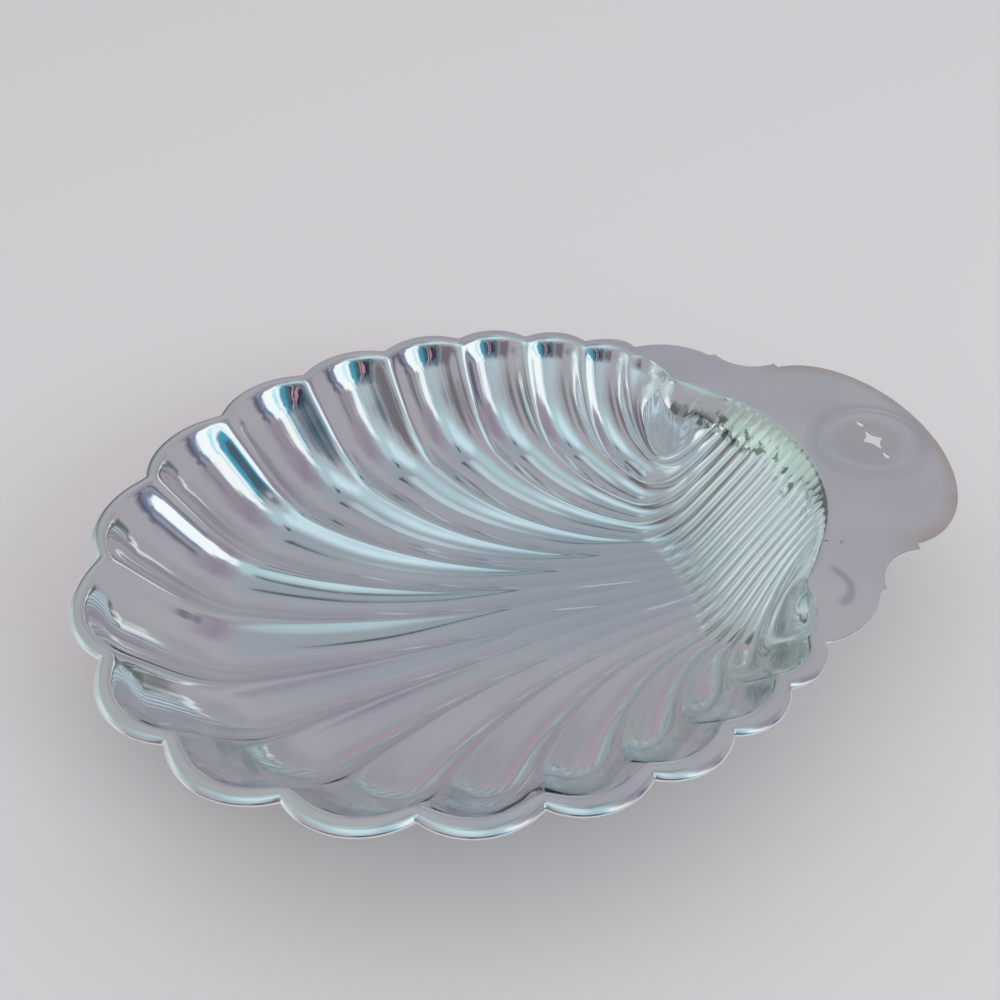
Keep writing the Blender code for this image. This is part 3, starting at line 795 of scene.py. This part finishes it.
# Places on the plan, each with its half length along X and along Y
WORN_PATCH = ((0.03, 0.012), (0.075, 0.034))
PLATE_OVAL = ((0.1188, 0.0), (0.0336, 0.0533))
# Where the painted shade of the crescent dent lies
DENT_SHADE_OVAL = ((0.0837, -0.0625), (0.0056, 0.0080))
SPOT_PATCH = ((0.0925, -0.0445), (0.0045, 0.0022))
# Middle of the raised disc, round which the groove's painted shade lies
DISC_MIDDLE_X = 0.1290
# Scratches: start, end and half width. Three long ones lie on the floor, two short ones near the rim
SCRATCHES = (
    ((0.0180, 0.0095), (0.0500, 0.0045), 0.00050),
    ((0.0400, -0.0102), (0.0620, -0.0087), 0.00065),
    ((0.0080, 0.0008), (0.0300, -0.0035), 0.00045),
    ((-0.0310, -0.0900), (-0.0170, -0.0740), 0.00045),
    ((-0.0600, -0.1000), (-0.0520, -0.0800), 0.00040),
)
UNEVEN_HEIGHT = 0.00022
RIPPLE_HEIGHT = 0.00016


def silver_finish():
    """Silver plate with wear, tarnish, fine scratches and a few spots, and painted shade and
    reflections.
    """
    material = bpy.data.materials.new("worn_silver_plate")
    material.use_nodes = True
    tree = material.node_tree
    shader = tree.nodes["Principled BSDF"]
    board = Board(tree)
    here = board.node("ShaderNodeTexCoord", out="Object")
    x, y, z = board.axes(here)

    def stored(name):
        return board.node("ShaderNodeAttribute", {"attribute_name": name}, out="Fac")

    def noise(scale, detail, rough, stretch=(1, 1, 1), seed=(0, 0, 0)):
        mapped = board.node("ShaderNodeMapping", None,
                            {"Vector": here, "Location": seed, "Scale": stretch})
        return board.node("ShaderNodeTexNoise", None,
                          {"Vector": mapped, "Scale": scale, "Detail": detail, "Roughness": rough})

    def oval(middle, halves):
        """Squared distance from a place, 1 on the oval with these half lengths."""
        return ((x - middle[0]) / halves[0]) ** 2 + ((y - middle[1]) / halves[1]) ** 2

    down, bowl_part, handle_part = stored("down"), stored("bowl"), stored("handle")
    floor_part = z.ramp(0.022, 0.008)
    cloud = noise(22.0, 3.0, 0.55)
    mottle = noise(95.0, 4.0, 0.6, seed=(0.31, 0.12, 0.2))

    # Clouded silver, worn on the floor, with warm tarnish on the handle's outer edge
    colour = board.mix(cloud.ramp(0.35, 0.65), SILVER_DULL, SILVER_BRIGHT)
    worn = (oval(*WORN_PATCH) + mottle * 0.5).ramp(1.6, 0.4) * floor_part
    colour = board.mix(floor_part * 0.4, colour, FLOOR_GREY)
    colour = board.mix(worn * 0.55, colour, WORN_BLUE)
    on_edge = (oval(*PLATE_OVAL) ** 0.5).ramp(0.84, 1.01)
    edge_tarnish = on_edge * x.ramp(0.108, 0.124) * mottle.ramp(0.3, 0.6, 0.5, 1.0)
    colour = board.mix(edge_tarnish * 0.75, colour, EDGE_BROWN)

    # Painted shade in the groove round the raised disc; the plate is darker and browner round the
    # star
    from_disc = ((x - DISC_MIDDLE_X) ** 2 + y ** 2) ** 0.5 + mottle * 0.0012
    groove_shade = from_disc.ramp(0.0158, 0.0195) * from_disc.ramp(0.0245, 0.0212) * handle_part
    colour = board.mix(groove_shade * 0.3, colour, GROOVE_SHADE_GREY)
    round_star_tint = from_disc.ramp(0.0145, 0.0095) * handle_part
    colour = board.mix(round_star_tint * 0.4, colour, STAR_BROWN)

    # Painted shade of a faint crescent dent, and a few dark spots on the near shoulder
    dent_shade = oval(*DENT_SHADE_OVAL) ** 0.5 + mottle * 0.3
    crescent_shade = dent_shade.ramp(0.75, 1.1) * dent_shade.ramp(1.5, 1.15)
    crescent_shade = crescent_shade * (x - y * 0.3).ramp(0.1015, 0.1055) * handle_part
    colour = board.mix(crescent_shade * 0.6, colour, DENT_SHADE_GREY)
    spots = noise(420.0, 2.0, 0.5, seed=(0.4, 0.1, 0.7)).ramp(0.50, 0.60)
    spots = spots * oval(*SPOT_PATCH).ramp(1.2, 0.3)
    colour = board.mix(spots * 0.7 * handle_part, colour, SPOT_GREY)

    # Painted green reflection on the back wall's top, dark specks where the reeds end, and painted
    # green reflection on the near wall
    back_wall = bowl_part * down.ramp(0.55, 0.65) * y.ramp(-0.035, 0.0)
    wall_top_reflection = z.ramp(0.0385, 0.0425) * back_wall
    colour = board.mix(wall_top_reflection * (0.35 + cloud.ramp(0.4, 0.6) * 0.4), colour, WALL_TOP_REFLECTION_GREEN)
    reed_ends = z.ramp(0.036, 0.040) * z.ramp(0.0475, 0.044) * back_wall
    specks = noise(190.0, 3.0, 0.6, seed=(0.2, 0.5, 0.1)).ramp(0.50, 0.60) * reed_ends
    colour = board.mix(specks * 0.8, colour, SPECK_BLACK)
    near_wall = y.ramp(-0.030, -0.055) * z.ramp(0.012, 0.026) * bowl_part
    near_wall_reflection = noise(60.0, 3.0, 0.6, seed=(0.6, 0.3, 0.4)).ramp(0.42, 0.58)
    colour = board.mix(near_wall * near_wall_reflection * 0.6, colour, NEAR_WALL_REFLECTION_GREEN)

    # Haze: least on the bowl's walls, more on the worn floor, the tarnish, the rim and the handle
    haze = 0.06 + cloud.ramp(0.35, 0.7) * 0.03 + mottle.ramp(0.45, 0.75) * 0.03
    haze = haze + floor_part * 0.035 + worn * 0.05 + edge_tarnish * 0.08
    haze = haze + (1 - bowl_part) * 0.09 + handle_part * 0.02

    # Scratches catch the light: they are paler and rougher, and mirror less
    scratches = 0.0
    for start, end, width in SCRATCHES:
        run = math.dist(start, end)
        ahead, aside = (end[0] - start[0]) / run, (end[1] - start[1]) / run
        along = (x - start[0]) * ahead + (y - start[1]) * aside
        off = abs((y - start[1]) * ahead - (x - start[0]) * aside)
        ends = along.ramp(0.0, run * 0.3) * along.ramp(run, run * 0.6)
        scratches = off.ramp(width, 0.0) * ends * bowl_part * 0.75 + scratches
    scratches = scratches.low(1.0)
    colour = board.mix(scratches, colour, SCRATCH_WHITE)
    mirror = 1.0 - scratches * 0.7
    haze = haze + scratches * 0.3

    # The pressed sheet is slightly uneven, and the near wall, dressed by hand, is rippled
    uneven = noise(30.0, 2.0, 0.5, seed=(0.7, 0.1, 0.0))
    ripple = noise(150.0, 2.0, 0.5, stretch=(1.0, 1.0, 0.4))
    ripple = ripple * y.ramp(-0.030, -0.055) * z.ramp(0.008, 0.022)
    height = uneven * UNEVEN_HEIGHT + ripple * bowl_part * RIPPLE_HEIGHT
    bump = board.node("ShaderNodeBump", None, {"Height": height, "Strength": 1.0, "Distance": 1.0})
    for name, value in (("Base Color", colour), ("Metallic", mirror), ("Roughness", haze),
                        ("Normal", bump)):
        tree.links.new(value.output, shader.inputs[name])
    return material


# The plain dish is pressed and made a plain mesh, which is the finished piece
plain = bpy.data.objects.new("plain_dish", plain_mesh)
bpy.context.scene.collection.objects.link(plain)
press = plain.modifiers.new("press", "NODES")
press.node_group = press_flutes()
settings = {"Wall Depth": FLUTE_DEPTH, "Floor Depth": 0.13, "Reed Depth": 0.17, "Top Depth": 0.025,
            "Bead Depth": 0.11, "Reed End": 0.0105, "Crest Round": 0.07,
            "Flat Depth": RIM_HEIGHT - SHEET - 0.0001, "Flat Softness": 0.0008,
            "Floor Ripple": 0.22, "Fold Passes": 10, "Finish": silver_finish()}
for item in press.node_group.interface.items_tree:
    if item.in_out == "INPUT" and item.name in settings:
        press[item.identifier] = settings[item.name]
bpy.context.view_layer.update()
pressed = bpy.data.meshes.new_from_object(plain.evaluated_get(bpy.context.evaluated_depsgraph_get()))
bpy.data.objects.remove(plain, do_unlink=True)
pressed.shade_smooth()
pressed.set_sharp_from_angle(angle=math.radians(50))
dish = bpy.data.objects.new("silver_shell_dish", pressed)
bpy.context.scene.collection.objects.link(dish)
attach(dish, "root")
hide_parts("shell_dish")


# The studio: a plain pale floor, one lamp, the camera at the photograph's angle, and a world
# whose soft patches of light and dark the silver mirrors. The floor's own light is even instead.
def card(name, corners, build):
    """A flat sheet of the studio."""
    mesh = bpy.data.meshes.new(name)
    mesh.from_pydata(corners, [], [tuple(range(len(corners)))])
    thing = bpy.data.objects.new(name, mesh)
    bpy.context.scene.collection.objects.link(thing)
    mesh.materials.append(build)


def matte(name, colour):
    """A plain matte finish for the studio's own sheets."""
    material = bpy.data.materials.new(name)
    material.use_nodes = True
    shader = material.node_tree.nodes["Principled BSDF"]
    shader.inputs["Base Color"].default_value = (*colour, 1)
    shader.inputs["Roughness"].default_value = 0.9
    return material


pale = matte("pale_floor", (0.62, 0.60, 0.61))
card("floor", [(-4, -4, 0), (4, -4, 0), (4, 4, 0), (-4, 4, 0)], pale)

world = bpy.data.worlds.new("studio")
bpy.context.scene.world = world
world.use_nodes = True
sky = Board(world.node_tree)
aim = sky.node("ShaderNodeTexCoord", out="Generated")
aim_x, aim_y, aim_z = sky.axes(aim)
bearing = aim_y.math("ARCTAN2", aim_y, aim_x) * (180 / math.pi)
height = aim_z.math("ARCSINE", aim_z) * (180 / math.pi)
# A slight waver in degrees, so that what the silver mirrors has no ruled edges
BEARING_WAVER = 16
HEIGHT_WAVER = 13
waver = sky.node("ShaderNodeTexNoise", None,
                 {"Vector": aim, "Scale": 9.0, "Detail": 2.0}, out="Color")
waver_x, waver_y, _ = sky.axes(waver)
bearing = bearing + (waver_x - 0.5) * BEARING_WAVER
height = height + (waver_y - 0.5) * HEIGHT_WAVER
WALL = (0.40, 0.39, 0.43)
CEILING = (0.33, 0.38, 0.42)
EVEN_LIGHT = (0.92, 0.91, 0.93, 1.0)
# Each patch: its bearings and heights in degrees, its soft edge, how far its bearing leans with
# height, and its colour
PATCHES = (
    ((84, 186), (-30, 70), 16, 0, (0.40, 0.44, 0.445)),
    ((-190, -62), (42, 70), 12, 0, (0.45, 0.62, 0.67)),
    ((-152, -98), (48, 66), 10, 0, (0.64, 0.84, 0.91)),
    ((95, 185), (74, 84), 5, 0, (0.55, 0.70, 0.74)),
    ((-96, -78), (69, 77), 3, 0, (0.06, 0.065, 0.09)),
    ((36, 64), (72, 80), 3, 0, (0.06, 0.065, 0.09)),
    ((66, 80), (22, 50), 7, 0, (0.33, 0.37, 0.42)),
    ((16, 64), (14, 36), 9, 0, (0.34, 0.345, 0.385)),
    ((70, 92), (12, 38), 8, 0, (0.37, 0.335, 0.39)),
    ((82, 92), (10, 26), 7, 0, (0.42, 0.345, 0.39)),
    ((96, 118), (-8, 34), 6, 0, (0.13, 0.145, 0.15)),
    ((124, 180), (-14, 28), 6, 0, (0.50, 0.61, 0.62)),
    ((146, 164), (9, 26), 5, 0, (0.66, 0.79, 0.80)),
    ((166, 190), (-30, 12), 4, 0, (0.95, 1.03, 1.05)),
    ((188, 206), (-12, 16), 6, 0, (0.12, 0.14, 0.145)),
    ((-152, -126), (-4, 32), 6, 0, (0.17, 0.16, 0.18)),
    ((-54, -6), (36, 58), 13, 0, (0.28, 0.25, 0.32)),
    ((-122, -80), (-30, 36), 5, 0, (0.080, 0.145, 0.185)),
    ((-116, -92), (-30, 29), 3, 0, (0.035, 0.018, 0.034)),
    ((-106, -102), (14, 32), 1.2, 0.1, (0.50, 0.32, 0.42)),
    ((-98, -96), (16, 34), 1.0, 0.1, (0.62, 0.60, 0.68)),
    ((-85, -74), (-10, 40), 3, 0, (0.06, 0.34, 0.50)),
    ((-44, -35), (6, 34), 3, -0.4, (0.14, 0.22, 0.36)),
    ((-34, -24), (6, 34), 5, 0, (0.10, 0.11, 0.17)),
    ((-72, -60), (36, 50), 4, -0.9, (0.90, 1.03, 1.05)),
    ((-74, -44), (13, 40), 2.5, -0.5, (0.98, 1.06, 1.06)),
    ((-67, -64), (13, 40), 1.0, -0.5, (0.40, 0.85, 0.98)),
    ((14, 130), (-12, 5), 3, 0, (0.11, 0.135, 0.13)),
    ((20, 78), (6, 10), 2, 0, (0.75, 0.82, 0.82)),
)


def patch(bearings, heights, soft, lean):
    """1 inside a window of directions, with a soft edge."""
    middle, half = sum(heights) / 2, (heights[1] - heights[0]) / 2
    off = height - middle
    along = (half - abs(off)).ramp(-soft, soft)
    middle, half = sum(bearings) / 2, (bearings[1] - bearings[0]) / 2
    turned = bearing - middle - off * lean
    return along * (half - abs(turned.math("WRAP", turned, 180.0, -180.0))).ramp(-soft, soft)


shade = sky.mix(height.ramp(45, 75), WALL, CEILING)
for bearings, heights, soft, lean, colour in PATCHES:
    shade = sky.mix(patch(bearings, heights, soft, lean), shade, colour)
camera_ray, mirror_ray, clear_ray = (
    sky.node("ShaderNodeLightPath", out=name)
    for name in ("Is Camera Ray", "Is Glossy Ray", "Is Transmission Ray"))
seen = camera_ray.high(mirror_ray).high(clear_ray)
even = sky.node("ShaderNodeBackground", None, {"Color": EVEN_LIGHT})
mirrored = sky.node("ShaderNodeBackground", None, {"Color": shade})
light = sky.node("ShaderNodeMixShader", None, {0: seen, 1: even, 2: mirrored})
world.node_tree.links.new(light.output, world.node_tree.nodes["World Output"].inputs["Surface"])


def soft_box(name, place, size, power, colour):
    """A rectangular lamp turned to the dish; the silver mirrors the world's window in its place."""
    lamp = bpy.data.lights.new(name, "AREA")
    lamp.shape = "RECTANGLE"
    lamp.size, lamp.size_y = size
    lamp.energy = power
    lamp.color = colour
    thing = bpy.data.objects.new(name, lamp)
    thing.visible_glossy = False
    thing.location = place
    thing.rotation_euler = (-Vector(place)).to_track_quat("-Z", "Y").to_euler()
    bpy.context.scene.collection.objects.link(thing)


def toward(bearing, height, distance):
    """A place at a bearing and height, in degrees, seen from the dish."""
    turn, lift = math.radians(bearing), math.radians(height)
    return (distance * math.cos(turn) * math.cos(lift), distance * math.sin(turn) * math.cos(lift),
            distance * math.sin(lift))


soft_box("window", toward(-57, 29, 2.2), (1.0, 0.75), 15, (0.84, 1.0, 1.0))

view = bpy.data.cameras.new("camera")
view.lens = 43.92
view.sensor_width = 36.0
view.sensor_fit = "HORIZONTAL"
camera = bpy.data.objects.new("camera", view)
bpy.context.scene.collection.objects.link(camera)
camera.location = (-0.0770, -0.3037, 0.3263)
right = Vector((0.9647547, -0.2593096, -0.0447987))
up = Vector((0.2019062, 0.6202361, 0.7579849))
back = Vector((-0.1687669, -0.7403146, 0.6507319))
turn = camera.rotation_euler.to_matrix()
for axis, direction in enumerate((right, up, back)):
    turn.col[axis] = direction
camera.rotation_euler = turn.to_euler()
bpy.context.scene.camera = camera
bpy.context.scene.view_settings.view_transform = "Standard"
